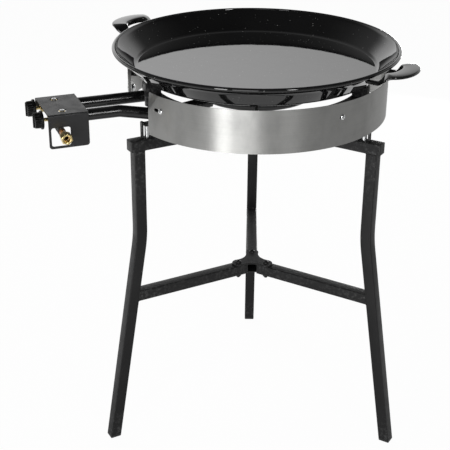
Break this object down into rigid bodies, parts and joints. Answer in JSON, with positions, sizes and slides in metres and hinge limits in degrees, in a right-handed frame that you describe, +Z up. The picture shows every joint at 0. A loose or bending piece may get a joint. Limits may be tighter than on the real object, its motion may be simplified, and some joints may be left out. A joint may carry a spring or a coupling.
{
  "type": "paella gas burner with stand and pan",
  "caption": "Round two-ring gas burner in an open wind shield on a braced tripod stand of square tube, with side taps, a gas inlet and a shallow two-handled pan.",
  "frame": {"origin": "the stand's axis at floor level", "axes": "+Z up, +Y to the rear leg, +X to the right seen from the front"},
  "size_m": [0.6591, 0.5575, 0.7258],
  "materials": {
    "stand_paint": "satin charcoal paint on steel tube and sheet",
    "burner_black": "black heat-proof paint on steel",
    "cap_plastic": "moulded black plastic",
    "knob_plastic": "moulded black plastic, fine grain",
    "zinc": "bright zinc-plated steel",
    "shield_steel": "horizontally brushed stainless sheet",
    "brass": "turned brass",
    "copper": "drawn copper tube",
    "pan_enamel": "glossy black enamel with fine pale specks"
  },
  "bodies": {
    "stand": {"leg_left": "stand_paint", "leg_right": "stand_paint", "leg_rear": "stand_paint", "arm_left": "stand_paint", "arm_right": "stand_paint", "arm_rear": "stand_paint", "arm_caps": "cap_plastic", "foot_caps": "cap_plastic", "brace_left": "stand_paint", "brace_right": "stand_paint", "brace_rear": "stand_paint", "brace_plate": "stand_paint", "brace_bolts": "stand_paint", "brace_nuts": "stand_paint", "locating_pins": "burner_black"},
    "burner": {"burner_studs": "zinc", "burner_feet": "burner_black", "outer_ring": "burner_black", "inner_ring": "burner_black", "ring_bars": "burner_black", "support_left": "burner_black", "support_right": "burner_black", "support_rear": "burner_black", "outer_pipe": "burner_black", "inner_pipe": "burner_black", "control_bracket": "stand_paint", "pipe_saddles": "stand_paint", "tap_outer": "brass", "tap_inner": "brass", "injectors": "brass", "gland_nuts": "brass", "tap_screws": "zinc", "gas_rail": "stand_paint", "inlet_tube": "copper", "inlet_nut": "brass", "wind_shield": "shield_steel", "shield_clips": "burner_black", "shield_screws": "zinc", "shield_nuts": "zinc", "end_bolt": "zinc", "end_nut": "zinc"},
    "outer_control": {"spindle_outer": "brass", "knob_outer": "knob_plastic"},
    "inner_control": {"spindle_inner": "brass", "knob_inner": "knob_plastic"},
    "pan": {"pan": "pan_enamel", "handle_left": "pan_enamel", "handle_right": "pan_enamel"}
  },
  "joints": [
    {"name": "burner_lift", "type": "slide", "parent": "stand", "child": "burner", "axis": [0, 0, 1], "range_m": [0, 0.2]},
    {"name": "pan_lift", "type": "slide", "parent": "burner", "child": "pan", "axis": [0, 0, 1], "range_m": [0, 0.25]},
    {"name": "outer_tap", "type": "hinge", "parent": "burner", "child": "outer_control", "pos_m": [-0.35615, -0.11154, 0.641], "axis": [-0.9272, -0.3746, 0], "range_deg": [0, 180]},
    {"name": "inner_tap", "type": "hinge", "parent": "burner", "child": "inner_control", "pos_m": [-0.33367, -0.16717, 0.641], "axis": [-0.9272, -0.3746, 0], "range_deg": [0, 180]}
  ]
}
